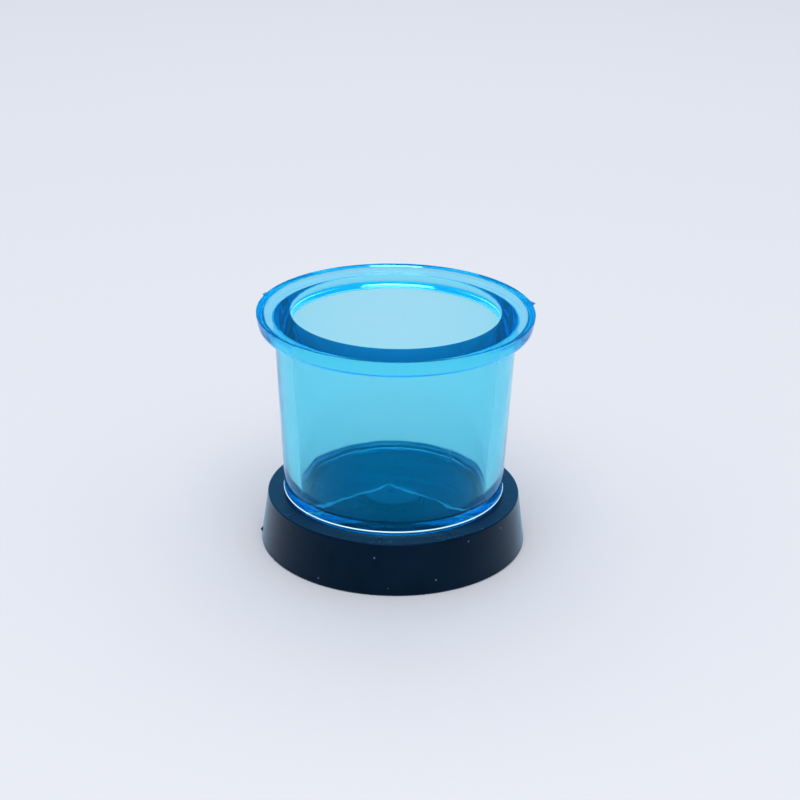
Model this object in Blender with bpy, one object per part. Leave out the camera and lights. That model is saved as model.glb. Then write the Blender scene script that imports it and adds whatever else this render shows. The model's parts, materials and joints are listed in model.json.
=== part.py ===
"""Small sampler cup: a clear blue flanged cup whose stepped lower end plugs into a black rubber foot.

Units are metres and +Z is up. The origin is the centre of the foot's underside, on the surface that it stands on.
Both pieces are turned shapes. Each outline runs from the axis at the top, outwards, down the outer side and back
to the axis below.
"""

import math

import bmesh
import bpy

MM = 0.001
SEGMENTS = 64
ARC_STEP_DEG = 22.5
MERGE_DISTANCE = 1e-7
SHARP_ANGLE = math.radians(30.0)

# Foot
FOOT_RADIUS = 20.0 * MM
FOOT_TOP_RADIUS = 19.0 * MM
FOOT_HEIGHT = 7.8 * MM
FOOT_EDGE_RADIUS = 0.25 * MM
SOCKET_RADIUS = 15.4 * MM
SOCKET_FLOOR = 1.8 * MM
SOCKET_LEAD_IN = 1.0 * MM
SOCKET_CORNER = 0.4 * MM
BOSS_RADIUS = 4.6 * MM
BOSS_TOP = 5.8 * MM
BOSS_EDGE_RADIUS = 0.5 * MM

# Cup
CUP_TOP = 36.7 * MM
FLANGE_RADIUS = 20.45 * MM
FLANGE_THICKNESS = 2.8 * MM
FLANGE_DRAFT = 0.2 * MM
FLANGE_CORNER = 1.35 * MM
FLANGE_ROOT = 0.3 * MM
WALL_RADIUS = 17.07 * MM
WALL_RADIUS_HEIGHT = 20.0 * MM
WALL_TAPER = 0.0522
MOUTH_RADIUS = 15.44 * MM
INNER_BOTTOM_RADIUS = 14.0 * MM
INNER_CORNER = 0.8 * MM
CUP_FLOOR = 9.0 * MM
FLOOR_THICKNESS = 1.2 * MM
HEEL_RADIUS = 0.65 * MM

# Plug: the reduced ring under the cup that the foot grips
PLUG_CLEARANCE = 0.3 * MM
PLUG_WALL = 0.9 * MM
PLUG_CHAMFER = 0.4 * MM
PLUG_INNER_CORNER = 0.5 * MM


def wall_radius(z):
    """Outer radius of the tapered cup wall at height z."""
    return WALL_RADIUS + WALL_TAPER * (z - WALL_RADIUS_HEIGHT)


def arc(centre_r, centre_z, radius, start_deg, end_deg):
    """Points along a round corner of an outline, both ends included."""
    steps = max(2, round(abs(end_deg - start_deg) / ARC_STEP_DEG))
    angles = [math.radians(start_deg + (end_deg - start_deg) * i / steps) for i in range(steps + 1)]
    return [(centre_r + radius * math.cos(a), centre_z + radius * math.sin(a)) for a in angles]


def foot_outline():
    """Rubber foot: centre boss, socket for the plug with its lead-in, flat top, flared side, flat underside."""
    points = [(0.0, BOSS_TOP)]
    points += arc(BOSS_RADIUS - BOSS_EDGE_RADIUS, BOSS_TOP - BOSS_EDGE_RADIUS, BOSS_EDGE_RADIUS, 90, 0)
    points += arc(BOSS_RADIUS + SOCKET_CORNER, SOCKET_FLOOR + SOCKET_CORNER, SOCKET_CORNER, 180, 270)
    points += arc(SOCKET_RADIUS - SOCKET_CORNER, SOCKET_FLOOR + SOCKET_CORNER, SOCKET_CORNER, 270, 360)
    points += [
        (SOCKET_RADIUS, FOOT_HEIGHT - SOCKET_LEAD_IN),
        (SOCKET_RADIUS + SOCKET_LEAD_IN, FOOT_HEIGHT),
        (FOOT_TOP_RADIUS, FOOT_HEIGHT),
    ]
    points += arc(FOOT_RADIUS - FOOT_EDGE_RADIUS, FOOT_EDGE_RADIUS, FOOT_EDGE_RADIUS, 0, -90)
    points.append((0.0, 0.0))
    return points


def flange_outline():
    """The flat rim: mouth edge, top face, drafted side, round lower corner and the root at the wall."""
    underside = CUP_TOP - FLANGE_THICKNESS
    side_radius = FLANGE_RADIUS - FLANGE_DRAFT
    root_radius = wall_radius(underside)
    points = [(MOUTH_RADIUS, CUP_TOP), (FLANGE_RADIUS, CUP_TOP)]
    points += arc(side_radius - FLANGE_CORNER, underside + FLANGE_CORNER, FLANGE_CORNER, 0, -90)
    points += arc(root_radius + FLANGE_ROOT, underside - FLANGE_ROOT, FLANGE_ROOT, 90, 180)
    return points


def plug_outline():
    """The step at the foot's top face and the ring below it, up to the underside of the cup's floor."""
    shoulder = CUP_FLOOR - FLOOR_THICKNESS
    plug_radius = SOCKET_RADIUS - PLUG_CLEARANCE
    plug_end = SOCKET_FLOOR + PLUG_CLEARANCE
    bore = plug_radius - PLUG_WALL
    heel_centre = wall_radius(shoulder + HEEL_RADIUS) - HEEL_RADIUS
    points = arc(heel_centre, shoulder + HEEL_RADIUS, HEEL_RADIUS, 0, -90)
    points += [
        (plug_radius, shoulder),
        (plug_radius, plug_end + PLUG_CHAMFER),
        (plug_radius - PLUG_CHAMFER, plug_end),
        (bore, plug_end),
    ]
    points += arc(bore - PLUG_INNER_CORNER, shoulder - PLUG_INNER_CORNER, PLUG_INNER_CORNER, 0, 90)
    points.append((0.0, shoulder))
    return points


def cup_outline():
    """Inside of the cup from the middle of its floor, over the flange, down the wall and round the plug."""
    corner = arc(INNER_BOTTOM_RADIUS - INNER_CORNER, CUP_FLOOR + INNER_CORNER, INNER_CORNER, -90, 0)
    return [(0.0, CUP_FLOOR)] + corner + flange_outline() + plug_outline()


def principled(name, colour, roughness, transmission=0.0):
    """A Principled material with the piece's colour and finish."""
    material = bpy.data.materials.new(name)
    material.use_nodes = True
    shader = material.node_tree.nodes["Principled BSDF"]
    shader.inputs["Base Color"].default_value = (*colour, 1.0)
    shader.inputs["Roughness"].default_value = roughness
    shader.inputs["Metallic"].default_value = 0.0
    shader.inputs["Transmission Weight"].default_value = transmission
    return material


def turned(name, outline, material):
    """Spins an outline about +Z into one closed, smooth shaded object."""
    shape = bmesh.new()
    verts = [shape.verts.new((r, 0.0, z)) for r, z in outline]
    edges = [shape.edges.new(pair) for pair in zip(verts, verts[1:])]
    bmesh.ops.spin(
        shape,
        geom=verts + edges,
        axis=(0.0, 0.0, 1.0),
        cent=(0.0, 0.0, 0.0),
        steps=SEGMENTS,
        angle=math.tau,
        use_merge=True,
    )
    bmesh.ops.remove_doubles(shape, verts=shape.verts, dist=MERGE_DISTANCE)
    bmesh.ops.recalc_face_normals(shape, faces=shape.faces)
    mesh = bpy.data.meshes.new(name)
    shape.to_mesh(mesh)
    shape.free()
    mesh.shade_smooth()
    mesh.set_sharp_from_angle(angle=SHARP_ANGLE)
    mesh.materials.append(material)
    piece = bpy.data.objects.new(name, mesh)
    bpy.context.scene.collection.objects.link(piece)
    return piece


def build():
    for old in list(bpy.data.objects):
        bpy.data.objects.remove(old)
    rubber = principled("black_rubber", (0.010, 0.014, 0.022), 0.40)
    plastic = principled("clear_blue_plastic", (0.05, 0.55, 0.85), 0.05, transmission=1.0)
    turned("foot", foot_outline(), rubber)
    turned("cup", cup_outline(), plastic)


build()
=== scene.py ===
"""Looks of the small sampler cup: a clear blue flanged cup whose stepped end plugs into a black rubber foot.

Lengths are metres and +Z is up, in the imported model's own frame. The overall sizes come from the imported
nodes; the values below them are the design's own wall, corner and socket sizes. Both visible pieces are
turned again at a fine step, with the rounded edges, flash and tool marks that the plain solids leave out.
"""

import json
import math

import bmesh
import bpy
from mathutils import Matrix, Vector, noise


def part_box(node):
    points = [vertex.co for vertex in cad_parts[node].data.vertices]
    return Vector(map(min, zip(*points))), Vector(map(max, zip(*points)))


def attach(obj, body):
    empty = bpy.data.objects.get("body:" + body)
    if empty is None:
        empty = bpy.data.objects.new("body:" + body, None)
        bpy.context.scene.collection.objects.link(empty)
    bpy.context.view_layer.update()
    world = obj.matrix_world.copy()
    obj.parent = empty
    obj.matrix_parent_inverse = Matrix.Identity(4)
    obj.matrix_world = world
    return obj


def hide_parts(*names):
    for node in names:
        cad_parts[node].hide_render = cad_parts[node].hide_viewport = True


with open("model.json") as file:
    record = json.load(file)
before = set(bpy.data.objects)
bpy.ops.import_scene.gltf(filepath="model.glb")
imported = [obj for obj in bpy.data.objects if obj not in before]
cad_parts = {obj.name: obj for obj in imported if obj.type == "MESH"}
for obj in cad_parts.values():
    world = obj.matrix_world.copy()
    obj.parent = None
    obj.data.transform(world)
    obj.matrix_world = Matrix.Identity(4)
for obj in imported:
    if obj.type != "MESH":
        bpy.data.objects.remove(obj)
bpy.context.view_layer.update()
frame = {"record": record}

MM = 0.001

# Overall sizes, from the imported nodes
foot_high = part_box("foot")[1]
cup_low, cup_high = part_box("cup")
mount_height = {mount["name"]: mount["pos_m"][2] for mount in frame["record"]["mounts"]}
FOOT_RADIUS = foot_high.x
FOOT_HEIGHT = foot_high.z
CUP_TOP = cup_high.z
FLANGE_RADIUS = cup_high.x
FLANGE_UNDERSIDE = mount_height["flange_underside"]
PLUG_END = cup_low.z

# Foot
FOOT_FLARE = 1.0 * MM
FOOT_TOP_RADIUS = FOOT_RADIUS - FOOT_FLARE
FOOT_SLOPE = FOOT_FLARE / FOOT_HEIGHT
FOOT_EDGE_RADIUS = 0.25 * MM
FOOT_TOP_EDGE_END_DEG = 8
SOCKET_RADIUS = 15.4 * MM
SOCKET_LEAD_IN = 0.15 * MM
SOCKET_CORNER = 0.4 * MM
BOSS_RADIUS = 4.6 * MM
BOSS_TOP = 5.8 * MM
BOSS_EDGE_RADIUS = 0.5 * MM
DIMPLE_RADIUS = 1.0 * MM
DIMPLE_DEPTH = 0.4 * MM
DIMPLE_STEPS = 10

# Cup
SHOULDER = FOOT_HEIGHT
CUP_FLOOR = SHOULDER + 1.2 * MM
FLANGE_DRAFT = 0.2 * MM
FLANGE_CORNER = 1.35 * MM
FLANGE_EDGE_RADIUS = 0.18 * MM
FLANGE_ROOT = 0.4 * MM
WALL_RADIUS = 17.07 * MM
WALL_RADIUS_HEIGHT = 20.0 * MM
WALL_TAPER = 0.0522
MOUTH_RADIUS = 15.44 * MM
MOUTH_EDGE_RADIUS = 0.2 * MM
INNER_BOTTOM_RADIUS = 14.0 * MM
INNER_CORNER = 0.8 * MM
HEEL_RADIUS = 0.65 * MM
BEAD_RADIUS = 0.13 * MM
BEAD_HEIGHT = SHOULDER + 0.79 * MM
PLUG_RADIUS = SOCKET_RADIUS - 0.3 * MM
PLUG_WALL = 0.9 * MM
PLUG_BORE = PLUG_RADIUS - PLUG_WALL
PLUG_CHAMFER = 0.4 * MM
PLUG_INNER_CORNER = 0.5 * MM

# The rubber grips the plastic without an air gap, so it reaches this far into the plug and the shoulder
GRIP = 0.02 * MM
GRIP_RADIUS = PLUG_RADIUS - GRIP
GRIP_FLOOR = PLUG_END + GRIP

# Fineness of the turned surfaces
ARC_STEP_DEG = 7.0
ARC_MIN_STEPS = 3
TURN_STEP_DEG = 1.25
FINE_STEP_DEG = 0.2
SHARP_ANGLE = math.radians(35.0)

# Flash on the flange: angle from +X, half width in degrees and how far it stands out
FLASH = [(162.0, 1.6, 0.62 * MM), (146.0, 0.5, 0.22 * MM), (11.5, 1.5, 0.95 * MM)]
FLASH_HEIGHT = 0.16 * MM
FLASH_DROP = 1.6
FLASH_LEVELS = (1.6, 2.2, 2.8)
FLASH_FINE_REACH = 3.0
FLASH_MEAN = 0.75
FLASH_RAGGED = 0.45
FLASH_RAGGED_PER_DEG = 2.1
RIM_ZONE = 0.25 * MM
RIM_WOBBLE = 0.012 * MM
RIM_WOBBLE_DEG = 4.0
RIM_WOBBLE_SEED = 3.0

# The mould's joint line down the wall, which fades out towards the foot
JOINT_LINE_DEG = -61.3
JOINT_LINE_WIDTH_DEG = 0.22
JOINT_LINE_REACH_DEG = 1.0
JOINT_LINE_RISE = 0.02 * MM
JOINT_LINE_END = 11.0 * MM
JOINT_LINE_FADE = 4.0 * MM
WALL_ZONE = 0.1 * MM

# The gate nub low on the foot's side
NUB_DEG = 183.5
NUB_WIDTH_DEG = 0.7
NUB_REACH_DEG = 2.0
NUB_HEIGHT = 1.1 * MM
NUB_SIZE = 0.28 * MM
NUB_RISE = 0.35 * MM
NUB_LEVELS = (2.2, 1.4, 0.7, 0.0, -0.7, -1.4, -2.2)
SIDE_ZONE = 0.5 * MM

# Camera
CAMERA_TARGET = Vector((0.8 * MM, 0.0, 22.3 * MM))
CAMERA_DISTANCE = 303.5 * MM
CAMERA_PITCH = math.radians(23.2)
CAMERA_ROLL = math.radians(0.89)
CAMERA_SENSOR = 36.0
CAMERA_LENS = 91.6
CAMERA_CLIP_START = 0.01


def arc(centre_r, centre_z, radius, start_deg, end_deg):
    """Points along a round corner of an outline, both ends included."""
    steps = max(ARC_MIN_STEPS, math.ceil(abs(end_deg - start_deg) / ARC_STEP_DEG))
    angles = [math.radians(start_deg + (end_deg - start_deg) * i / steps) for i in range(steps + 1)]
    return [(centre_r + radius * math.cos(a), centre_z + radius * math.sin(a)) for a in angles]


def wall_radius(z):
    """Outer radius of the tapered cup wall at height z."""
    return WALL_RADIUS + WALL_TAPER * (z - WALL_RADIUS_HEIGHT)


def foot_outline():
    """Boss, socket, lead-in, flat top, flared side and underside, from the axis outwards and back to it."""
    points = [(0.0, BOSS_TOP - DIMPLE_DEPTH)]
    for step in range(1, DIMPLE_STEPS + 1):
        share = step / DIMPLE_STEPS
        depth = DIMPLE_DEPTH * (0.5 + 0.5 * math.cos(math.pi * share))
        points.append((DIMPLE_RADIUS * share, BOSS_TOP - depth))
    points += arc(BOSS_RADIUS - BOSS_EDGE_RADIUS, BOSS_TOP - BOSS_EDGE_RADIUS, BOSS_EDGE_RADIUS, 90, 0)
    points += arc(BOSS_RADIUS + SOCKET_CORNER, GRIP_FLOOR + SOCKET_CORNER, SOCKET_CORNER, 180, 270)
    points += arc(GRIP_RADIUS - SOCKET_CORNER, GRIP_FLOOR + SOCKET_CORNER, SOCKET_CORNER, 270, 360)
    points += [
        (GRIP_RADIUS, FOOT_HEIGHT - SOCKET_LEAD_IN),
        (GRIP_RADIUS + SOCKET_LEAD_IN, FOOT_HEIGHT + GRIP),
    ]
    edge_centre = (FOOT_TOP_RADIUS - FOOT_EDGE_RADIUS, FOOT_HEIGHT - FOOT_EDGE_RADIUS)
    points += arc(*edge_centre, FOOT_EDGE_RADIUS, 90, FOOT_TOP_EDGE_END_DEG)
    for level in NUB_LEVELS:
        height = NUB_HEIGHT + level * NUB_SIZE
        points.append((FOOT_RADIUS - FOOT_SLOPE * height, height))
    points += arc(FOOT_RADIUS - FOOT_EDGE_RADIUS, FOOT_EDGE_RADIUS, FOOT_EDGE_RADIUS, 0, -90)
    points.append((0.0, 0.0))
    return points


def cup_outline():
    """Inside from the middle of the cup's floor, over the flange, down the wall and round the plug ring."""
    points = [(0.0, CUP_FLOOR)]
    points += arc(INNER_BOTTOM_RADIUS - INNER_CORNER, CUP_FLOOR + INNER_CORNER, INNER_CORNER, -90, 0)
    points += arc(MOUTH_RADIUS + MOUTH_EDGE_RADIUS, CUP_TOP - MOUTH_EDGE_RADIUS, MOUTH_EDGE_RADIUS, 180, 90)
    points += arc(FLANGE_RADIUS - FLANGE_EDGE_RADIUS, CUP_TOP - FLANGE_EDGE_RADIUS, FLANGE_EDGE_RADIUS, 90, 0)
    points += [(FLANGE_RADIUS, CUP_TOP - FLASH_HEIGHT * level) for level in FLASH_LEVELS]
    corner_r = FLANGE_RADIUS - FLANGE_DRAFT - FLANGE_CORNER
    points += arc(corner_r, FLANGE_UNDERSIDE + FLANGE_CORNER, FLANGE_CORNER, 0, -90)
    root_r = wall_radius(FLANGE_UNDERSIDE) + FLANGE_ROOT
    points += arc(root_r, FLANGE_UNDERSIDE - FLANGE_ROOT, FLANGE_ROOT, 90, 180)
    points += arc(wall_radius(BEAD_HEIGHT), BEAD_HEIGHT, BEAD_RADIUS, 90, -90)
    heel_r = wall_radius(SHOULDER + HEEL_RADIUS) - HEEL_RADIUS
    points += arc(heel_r, SHOULDER + HEEL_RADIUS, HEEL_RADIUS, 0, -90)
    points += [
        (PLUG_RADIUS, SHOULDER),
        (PLUG_RADIUS, PLUG_END + PLUG_CHAMFER),
        (PLUG_RADIUS - PLUG_CHAMFER, PLUG_END),
        (PLUG_BORE, PLUG_END),
    ]
    points += arc(PLUG_BORE - PLUG_INNER_CORNER, SHOULDER - PLUG_INNER_CORNER, PLUG_INNER_CORNER, 0, 90)
    points.append((0.0, SHOULDER))
    return points


def turn_angles(fine_spots):
    """Angles round the axis: an even step, and a finer one within a few degrees of each fine spot."""
    angles = {round(i * TURN_STEP_DEG, 3) for i in range(round(360 / TURN_STEP_DEG))}
    for centre, reach in fine_spots:
        count = round(2 * reach / FINE_STEP_DEG)
        angles |= {round((centre - reach + i * FINE_STEP_DEG) % 360, 3) for i in range(count + 1)}
    return [math.radians(a) for a in sorted(angles)]


def away(angle, centre_deg):
    """Signed angle from a mark, in degrees."""
    return (math.degrees(angle) - centre_deg + 180) % 360 - 180


def bell(x):
    """Smooth bump that is 1 at 0 and fades out by about 2."""
    return math.exp(-x * x)


def cup_detail(radius, height, angle):
    """Radius of the cup with the flash on its flange and the joint line on its wall."""
    degrees = math.degrees(angle)
    if radius > FLANGE_RADIUS - RIM_ZONE:
        level = bell((CUP_TOP - height - FLASH_DROP * FLASH_HEIGHT) / FLASH_HEIGHT)
        for centre, width, rise in FLASH:
            ragged = noise.noise(Vector((degrees * FLASH_RAGGED_PER_DEG, centre, 0.0)))
            share = FLASH_MEAN + FLASH_RAGGED * ragged
            radius += rise * level * share * bell(away(angle, centre) / width)
        wobble = noise.noise(Vector((degrees / RIM_WOBBLE_DEG, RIM_WOBBLE_SEED, height / MM)))
        radius += RIM_WOBBLE * wobble
    if wall_radius(height) - WALL_ZONE < radius < wall_radius(height) + WALL_ZONE:
        fade = min(max((height - JOINT_LINE_END) / JOINT_LINE_FADE, 0.0), 1.0)
        radius += JOINT_LINE_RISE * fade * bell(away(angle, JOINT_LINE_DEG) / JOINT_LINE_WIDTH_DEG)
    return radius


def foot_detail(radius, height, angle):
    """Radius of the foot with the gate nub low on its side."""
    if radius > FOOT_RADIUS - SIDE_ZONE:
        level = bell((height - NUB_HEIGHT) / NUB_SIZE)
        radius += NUB_RISE * level * bell(away(angle, NUB_DEG) / NUB_WIDTH_DEG)
    return radius


def turned(name, outline, angles, detail, material):
    """One closed, smooth shaded surface turned about +Z, with detail moving its points in or out."""
    shape = bmesh.new()
    rings = []
    for radius, height in outline:
        if radius == 0.0:
            rings.append([shape.verts.new((0.0, 0.0, height))] * len(angles))
            continue
        ring = []
        for angle in angles:
            r = detail(radius, height, angle)
            ring.append(shape.verts.new((r * math.cos(angle), r * math.sin(angle), height)))
        rings.append(ring)
    for upper, lower in zip(rings, rings[1:]):
        for i in range(len(angles)):
            j = (i + 1) % len(angles)
            shape.faces.new(dict.fromkeys((upper[i], lower[i], lower[j], upper[j])))
    bmesh.ops.recalc_face_normals(shape, faces=shape.faces)
    mesh = bpy.data.meshes.new(name)
    shape.to_mesh(mesh)
    shape.free()
    mesh.shade_smooth()
    mesh.set_sharp_from_angle(angle=SHARP_ANGLE)
    mesh.materials.append(material)
    piece = bpy.data.objects.new(name, mesh)
    bpy.context.scene.collection.objects.link(piece)
    return piece


class Nodes:
    """Short way to add and link a material's nodes."""

    def __init__(self, name):
        self.material = bpy.data.materials.new(name)
        self.material.use_nodes = True
        self.tree = self.material.node_tree
        self.tree.nodes.clear()

    def feed(self, target, value):
        """Links a socket to an input, or sets the input to a plain value."""
        if isinstance(value, bpy.types.NodeSocket):
            self.tree.links.new(value, target)
        else:
            target.default_value = value

    def add(self, kind, properties=None, **inputs):
        """A node with its properties set and its named inputs fed."""
        node = self.tree.nodes.new(kind)
        for key, value in (properties or {}).items():
            setattr(node, key, value)
        for key, value in inputs.items():
            self.feed(node.inputs[key.replace("_", " ")], value)
        return node

    def in_order(self, kind, properties, *values):
        """A node with its inputs fed in their own order."""
        node = self.add(kind, properties)
        for target, value in zip(node.inputs, values):
            self.feed(target, value)
        return node

    def scaled(self, value, from_min, from_max, to_min, to_max):
        """A value mapped from one range to another, clamped."""
        limits = {"From_Min": from_min, "From_Max": from_max, "To_Min": to_min, "To_Max": to_max}
        return self.add("ShaderNodeMapRange", Value=value, **limits).outputs["Result"]

    def blend(self, factor, first, second):
        """A colour between two colours."""
        node = self.add("ShaderNodeMix", {"data_type": "RGBA"}, Factor=factor)
        colours = [socket for socket in node.inputs if socket.type == "RGBA"]
        for target, colour in zip(colours, (first, second)):
            self.feed(target, colour)
        return next(socket for socket in node.outputs if socket.type == "RGBA")

    def shader_mix(self, factor, first, second):
        """A shader between two shader nodes."""
        return self.in_order("ShaderNodeMixShader", None, factor, first.outputs[0], second.outputs[0])

    def noise(self, scale, detail, roughness, vector=None):
        """Cloudy noise at a place, which is the point's own unless another is given."""
        node = self.add("ShaderNodeTexNoise", Scale=scale, Detail=detail, Roughness=roughness)
        self.feed(node.inputs["Vector"], vector or self.place())
        return node.outputs["Fac"]

    def place(self):
        """The point's own position in the object, in metres."""
        return self.add("ShaderNodeTexCoord").outputs["Object"]

    def from_axis(self):
        """Distance from the object's axis, in metres."""
        flat = self.in_order("ShaderNodeVectorMath", {"operation": "MULTIPLY"}, self.place(), (1.0, 1.0, 0.0))
        length = self.in_order("ShaderNodeVectorMath", {"operation": "LENGTH"}, flat.outputs["Vector"])
        return length.outputs["Value"]

    def math(self, operation, *values):
        """The result of a math node, from sockets or plain numbers."""
        return self.in_order("ShaderNodeMath", {"operation": operation}, *values).outputs[0]

    def times(self, *values):
        """The product of two or more values."""
        product = values[0]
        for value in values[1:]:
            product = self.math("MULTIPLY", product, value)
        return product


# Clear plastic: what it lets through, its faintly milky skin, and how its polish and thickness vary
PLASTIC_IOR = 1.49
PLASTIC_ABSORPTION = 190.0
PLASTIC_CLEAR = (0.0, 0.9, 1.0, 1.0)
PLASTIC_HAZE = 0.06
PLASTIC_HAZE_COLOUR = (0.0, 0.57, 1.0, 1.0)
PLASTIC_TINT = (0.86, 0.985, 1.0, 1.0)
PLASTIC_TINT_PALE = (0.9, 1.0, 1.0, 1.0)
PLASTIC_SHINE = (0.0, 0.75, 1.0, 1.0)
PLASTIC_ROUGHNESS = (0.02, 0.08)
SMEAR_NOISE = (240.0, 4.0, 0.6)
SMEAR_RANGE = (0.35, 0.7)
RIPPLE_NOISE = (110.0, 2.0, 0.5)
RIPPLE_STRETCH = (1.0, 1.0, 0.3)
RIPPLE_STRENGTH = 0.5
RIPPLE_DEPTH = 0.3 * MM

# The cup's underside: everything below a height just over the shoulder, and the part inside the plug ring
UNDERSIDE_ROUGHNESS = 0.05
UNDERSIDE_BAND = (SHOULDER + 0.02 * MM, SHOULDER + 0.06 * MM)
UNDER_FLOOR_BAND = (PLUG_BORE - 0.1 * MM, PLUG_BORE)

# Painted highlight on the bead above the heel: a pale diffuse band that stands in for the light the bead
# catches
PAINTED_HIGHLIGHT_COLOUR = (0.78, 0.99, 1.0, 1.0)
BEAD_HIGHLIGHT_SOFT = 0.03 * MM
BEAD_HIGHLIGHT_AMOUNT = 0.95
BEAD_HIGHLIGHT_BAND = (INNER_BOTTOM_RADIUS + 1.0 * MM, INNER_BOTTOM_RADIUS + 1.5 * MM)

# Damp patch under the cup's floor: a wavering peak towards the front, and a ring along the front of the plug
WET_IOR = 1.05
PATCH_PEAK_X = -0.6 * MM
PATCH_PEAK_Y = 0.4 * MM
PATCH_SLOPE = 0.78
PATCH_WAVER = 0.7 * MM
PATCH_WAVER_NOISE = (220.0, 2.0, 0.5)
PATCH_WAVER_RANGE = (0.3, 0.7)
PATCH_EDGE = 0.5 * MM
# How strongly and how unevenly a highlight is painted along the patch's edge
PATCH_EDGE_HIGHLIGHT_AMOUNT = 2.2
PATCH_EDGE_NOISE = (210.0, 2.0, 0.5)
PATCH_EDGE_RANGE = (0.4, 0.6)
PATCH_EDGE_LEAST = 0.3
PATCH_RING_BAND = (12.0 * MM, 12.4 * MM)
PATCH_FRONT_BAND = (3.0 * MM, 8.0 * MM)


def wet_patch(n, spot):
    """Two masks for the damp patch under the cup's floor: 1 inside it, and 1 along its edge, where a
    highlight is painted.
    """
    across = n.math("ABSOLUTE", n.math("SUBTRACT", spot.outputs["X"], PATCH_PEAK_X))
    drop = n.math("MULTIPLY", across, PATCH_SLOPE)
    beyond = n.math("ADD", n.math("SUBTRACT", spot.outputs["Y"], PATCH_PEAK_Y), drop)
    waver = n.scaled(n.noise(*PATCH_WAVER_NOISE), *PATCH_WAVER_RANGE, -PATCH_WAVER, PATCH_WAVER)
    beyond = n.math("ADD", beyond, waver)
    in_front = n.scaled(spot.outputs["Y"], *PATCH_FRONT_BAND, 1.0, 0.0)
    near_rim = n.times(in_front, n.scaled(n.from_axis(), *PATCH_RING_BAND, 0.0, 1.0))
    inside = n.math("MAXIMUM", n.scaled(beyond, -PATCH_EDGE, PATCH_EDGE, 1.0, 0.0), near_rim)
    uneven = n.scaled(n.noise(*PATCH_EDGE_NOISE), *PATCH_EDGE_RANGE, PATCH_EDGE_LEAST, 1.0)
    edge = n.times(n.scaled(n.math("ABSOLUTE", beyond), 0.0, PATCH_EDGE, 1.0, 0.0), uneven)
    return inside, edge


def clear_blue_plastic():
    """Clear blue moulding that absorbs red: milky, uneven skin, a painted highlight on the bead and a damp
    patch below with a painted highlight along its edge.
    """
    n = Nodes("clear_blue_plastic")
    smear = n.noise(*SMEAR_NOISE)
    drawn = n.add("ShaderNodeMapping", Vector=n.place(), Scale=RIPPLE_STRETCH)
    ripple = n.noise(*RIPPLE_NOISE, drawn.outputs["Vector"])
    bump = n.add("ShaderNodeBump", Strength=RIPPLE_STRENGTH, Distance=RIPPLE_DEPTH, Height=ripple)
    spot = n.add("ShaderNodeSeparateXYZ", Vector=n.place())
    height = spot.outputs["Z"]
    radius = n.from_axis()

    underside = n.scaled(height, *UNDERSIDE_BAND, 1.0, 0.0)
    under_floor = n.times(underside, n.scaled(radius, *UNDER_FLOOR_BAND, 1.0, 0.0))
    inside, edge = wet_patch(n, spot)
    wet = n.times(under_floor, inside)

    # Painted highlight: a pale band on the bead and pale lines along the damp patch's edge, in place of the
    # light they catch
    bead_low, bead_high = BEAD_HEIGHT - BEAD_RADIUS, BEAD_HEIGHT + BEAD_RADIUS
    above = n.scaled(height, bead_low, bead_low + BEAD_HIGHLIGHT_SOFT, 0.0, 1.0)
    below = n.scaled(height, bead_high - BEAD_HIGHLIGHT_SOFT, bead_high, 1.0, 0.0)
    outside = n.scaled(radius, *BEAD_HIGHLIGHT_BAND, 0.0, BEAD_HIGHLIGHT_AMOUNT)
    painted_highlight = n.math("ADD", n.times(above, below, outside), n.times(under_floor, edge, PATCH_EDGE_HIGHLIGHT_AMOUNT))

    polish = n.scaled(smear, *SMEAR_RANGE, *PLASTIC_ROUGHNESS)
    surface = n.add(
        "ShaderNodeBsdfPrincipled",
        Base_Color=n.blend(smear, PLASTIC_TINT, PLASTIC_TINT_PALE),
        Roughness=n.math("ADD", polish, n.times(underside, UNDERSIDE_ROUGHNESS)),
        IOR=n.math("SUBTRACT", PLASTIC_IOR, n.times(wet, PLASTIC_IOR - WET_IOR)),
        Transmission_Weight=1.0,
        Specular_Tint=PLASTIC_SHINE,
        Normal=bump.outputs["Normal"],
    )
    highlight_paint = n.add("ShaderNodeBsdfDiffuse", Color=PAINTED_HIGHLIGHT_COLOUR)
    haze = n.add("ShaderNodeBsdfTranslucent", Color=PLASTIC_HAZE_COLOUR)
    skin = n.shader_mix(PLASTIC_HAZE, n.shader_mix(painted_highlight, surface, highlight_paint), haze)
    dye = n.add("ShaderNodeVolumeAbsorption", Color=PLASTIC_CLEAR, Density=PLASTIC_ABSORPTION)
    n.add("ShaderNodeOutputMaterial", Surface=skin.outputs[0], Volume=dye.outputs[0])
    return n.material


# Rubber: blue black with a satin fuzz, cloudy wear and fine grain
RUBBER_DARK = (0.0010, 0.0035, 0.0090, 1.0)
RUBBER_LIGHT = (0.0030, 0.0080, 0.0170, 1.0)
RUBBER_SHINE = 1.0
RUBBER_SHEEN = (0.06, 0.19, 0.33, 1.0)
RUBBER_FUZZ = 0.5
RUBBER_FUZZ_ROUGHNESS = 0.3
RUBBER_FUZZ_COLOUR = (0.42, 0.72, 1.0, 1.0)
RUBBER_ROUGHNESS = (0.24, 0.36)
CLOUD_NOISE = (160.0, 4.0, 0.6)
CLOUD_RANGE = (0.3, 0.7)
GRAIN_NOISE = (5200.0, 2.0, 0.5)
GRAIN_STRENGTH = 0.25
GRAIN_DEPTH = 0.04 * MM

# Painted light on the boss: paler on its top, less so down its side, fading towards its foot
BOSS_PAINTED_LIGHT_COLOUR = (0.09, 0.22, 0.26, 1.0)
BOSS_BAND = (BOSS_RADIUS - BOSS_EDGE_RADIUS, BOSS_RADIUS)
BOSS_SIDE_LIGHT_AMOUNT = 0.4
BOSS_FADE = 1.0 * MM

# Dust specks: cells per metre, the share of cells left clean, and a speck's soft edge within its cell
DUST_COLOUR = (0.12, 0.15, 0.19, 1.0)
DUST_CELLS = 420.0
DUST_CLEAN = (0.40, 0.41)
DUST_SIZE = (0.035, 0.075)


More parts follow.
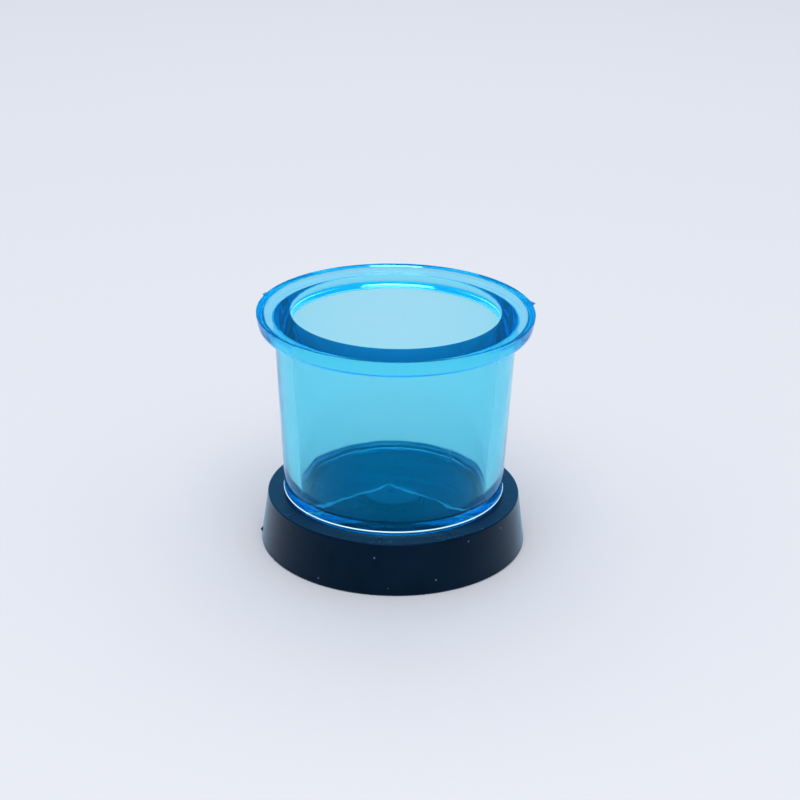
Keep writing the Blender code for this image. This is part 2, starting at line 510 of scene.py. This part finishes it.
def black_rubber():
    """Blue black rubber: satin, finely grained, with cloudy wear, a few pale specks of dust and painted light
    on its boss.
    """
    n = Nodes("black_rubber")
    cloud = n.noise(*CLOUD_NOISE)
    grain = n.noise(*GRAIN_NOISE)
    bump = n.add("ShaderNodeBump", Strength=GRAIN_STRENGTH, Distance=GRAIN_DEPTH, Height=grain)
    height = n.add("ShaderNodeSeparateXYZ", Vector=n.place()).outputs["Z"]

    cells = n.add("ShaderNodeTexVoronoi", Scale=DUST_CELLS, Vector=n.place())
    draw = n.add("ShaderNodeSeparateColor", Color=cells.outputs["Color"]).outputs["Red"]
    dusty = n.times(
        n.scaled(draw, *DUST_CLEAN, 0.0, 1.0),
        n.scaled(cells.outputs["Distance"], *DUST_SIZE, 1.0, 0.0),
    )
    # Painted light: the boss is paler where light through the cup falls on it, most on its top
    boss_painted_light = n.times(
        n.scaled(n.from_axis(), *BOSS_BAND, 1.0, 0.0),
        n.scaled(height, BOSS_TOP - DIMPLE_DEPTH, BOSS_TOP, BOSS_SIDE_LIGHT_AMOUNT, 1.0),
        n.scaled(height, GRIP_FLOOR, GRIP_FLOOR + BOSS_FADE, 0.0, 1.0),
    )
    base = n.blend(n.scaled(cloud, *CLOUD_RANGE, 0.0, 1.0), RUBBER_DARK, RUBBER_LIGHT)
    base = n.blend(boss_painted_light, base, BOSS_PAINTED_LIGHT_COLOUR)
    surface = n.add(
        "ShaderNodeBsdfPrincipled",
        Base_Color=n.blend(dusty, base, DUST_COLOUR),
        Roughness=n.scaled(cloud, *CLOUD_RANGE, *RUBBER_ROUGHNESS),
        Specular_IOR_Level=RUBBER_SHINE,
        Specular_Tint=RUBBER_SHEEN,
        Sheen_Weight=RUBBER_FUZZ,
        Sheen_Roughness=RUBBER_FUZZ_ROUGHNESS,
        Sheen_Tint=RUBBER_FUZZ_COLOUR,
        Normal=bump.outputs["Normal"],
    )
    n.add("ShaderNodeOutputMaterial", Surface=surface.outputs[0])
    return n.material


# Floor, room and lights
FLOOR_COLOUR = (0.505, 0.507, 0.53, 1.0)
FLOOR_SHADE = 0.985
FLOOR_NOISE = (3.0, 2.0, 0.5)
FLOOR_ROUGHNESS = 0.75
FLOOR_SHINE = 0.2
FLOOR_REACH = 20.0
FLOOR_SEGMENTS = 4
ROOM_COLOUR = (0.765, 0.775, 0.805, 1.0)
ROOM_STRENGTH = 1.28
ROOM_IN_GLOSS_COLOUR = (0.05, 0.46, 0.88, 1.0)
ROOM_IN_GLOSS_STRENGTH = 1.05
SOFTBOXES = {
    "top_softbox": (Vector((0.0, -0.3, 0.6)), (0.45, 0.45), 1.7),
    "rear_softbox": (Vector((0.0, 0.42, 0.48)), (0.55, 0.28), 0.5),
}


def pale_floor():
    """Matt pale board."""
    n = Nodes("pale_floor")
    shade = tuple(c * FLOOR_SHADE for c in FLOOR_COLOUR[:3]) + (1.0,)
    surface = n.add(
        "ShaderNodeBsdfPrincipled",
        Base_Color=n.blend(n.noise(*FLOOR_NOISE), shade, FLOOR_COLOUR),
        Roughness=FLOOR_ROUGHNESS,
        Specular_IOR_Level=FLOOR_SHINE,
    )
    n.add("ShaderNodeOutputMaterial", Surface=surface.outputs[0])
    return n.material


def add_floor():
    """Wide pale floor under the object, kept apart from the part itself."""
    shape = bmesh.new()
    bmesh.ops.create_grid(shape, x_segments=FLOOR_SEGMENTS, y_segments=FLOOR_SEGMENTS, size=FLOOR_REACH)
    mesh = bpy.data.meshes.new("studio_floor")
    shape.to_mesh(mesh)
    shape.free()
    mesh.materials.append(pale_floor())
    floor = bpy.data.objects.new("studio_floor", mesh)
    bpy.context.scene.collection.objects.link(floor)


def add_room():
    """Pale room all round, which gloss on the object mirrors in a deeper blue."""
    world = bpy.data.worlds.new("studio_room")
    bpy.context.scene.world = world
    world.use_nodes = True
    nodes, links = world.node_tree.nodes, world.node_tree.links
    plain = nodes["Background"]
    plain.inputs["Color"].default_value = ROOM_COLOUR
    plain.inputs["Strength"].default_value = ROOM_STRENGTH
    mirrored = nodes.new("ShaderNodeBackground")
    mirrored.inputs["Color"].default_value = ROOM_IN_GLOSS_COLOUR
    mirrored.inputs["Strength"].default_value = ROOM_IN_GLOSS_STRENGTH
    rays = nodes.new("ShaderNodeLightPath")
    choice = nodes.new("ShaderNodeMixShader")
    links.new(rays.outputs["Is Glossy Ray"], choice.inputs["Fac"])
    links.new(plain.outputs[0], choice.inputs[1])
    links.new(mirrored.outputs[0], choice.inputs[2])
    links.new(choice.outputs[0], nodes["World Output"].inputs["Surface"])


def add_softboxes():
    """A large soft light above the front and a fainter one behind, both aimed at the foot."""
    for name, (place, size, power) in SOFTBOXES.items():
        lamp = bpy.data.lights.new(name, "AREA")
        lamp.shape = "RECTANGLE"
        lamp.size, lamp.size_y = size
        lamp.energy = power
        softbox = bpy.data.objects.new(name, lamp)
        softbox.location = place
        softbox.rotation_euler = (-place).to_track_quat("-Z", "Y").to_euler()
        bpy.context.scene.collection.objects.link(softbox)


def add_camera():
    """Camera looking down at the cup from the front, with a slight roll."""
    data = bpy.data.cameras.new("camera")
    data.sensor_width = CAMERA_SENSOR
    data.lens = CAMERA_LENS
    data.clip_start = CAMERA_CLIP_START
    view = bpy.data.objects.new("camera", data)
    turn = Matrix.Rotation(math.radians(90) - CAMERA_PITCH, 4, "X") @ Matrix.Rotation(CAMERA_ROLL, 4, "Z")
    back = turn.to_3x3() @ Vector((0.0, 0.0, 1.0))
    view.matrix_world = Matrix.Translation(CAMERA_TARGET + back * CAMERA_DISTANCE) @ turn
    bpy.context.scene.collection.objects.link(view)
    bpy.context.scene.camera = view


def add_pieces():
    """The two visible pieces, each in place of its CAD node and riding on its body."""
    spots = [(centre, FLASH_FINE_REACH * width) for centre, width, _ in FLASH]
    spots.append((JOINT_LINE_DEG, JOINT_LINE_REACH_DEG))
    cup = turned("cup_moulding", cup_outline(), turn_angles(spots), cup_detail, clear_blue_plastic())
    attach(cup, "cup")
    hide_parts("cup")

    nub_spot = [(NUB_DEG, NUB_REACH_DEG)]
    foot = turned("foot_moulding", foot_outline(), turn_angles(nub_spot), foot_detail, black_rubber())
    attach(foot, "foot")
    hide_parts("foot")


MAX_BOUNCES = 24
GLOSSY_BOUNCES = 12
VIEW_LOOK = "Medium High Contrast"
VIEW_EXPOSURE = 0.04


def set_light_paths():
    """Enough bounces for light that runs along the cup's wall, and the picture's contrast and exposure."""
    cycles = bpy.context.scene.cycles
    cycles.max_bounces = MAX_BOUNCES
    cycles.transmission_bounces = MAX_BOUNCES
    cycles.glossy_bounces = GLOSSY_BOUNCES
    view = bpy.context.scene.view_settings
    view.view_transform = "Standard"
    view.look = VIEW_LOOK
    view.exposure = VIEW_EXPOSURE


add_pieces()
add_floor()
add_room()
add_softboxes()
add_camera()
set_light_paths()
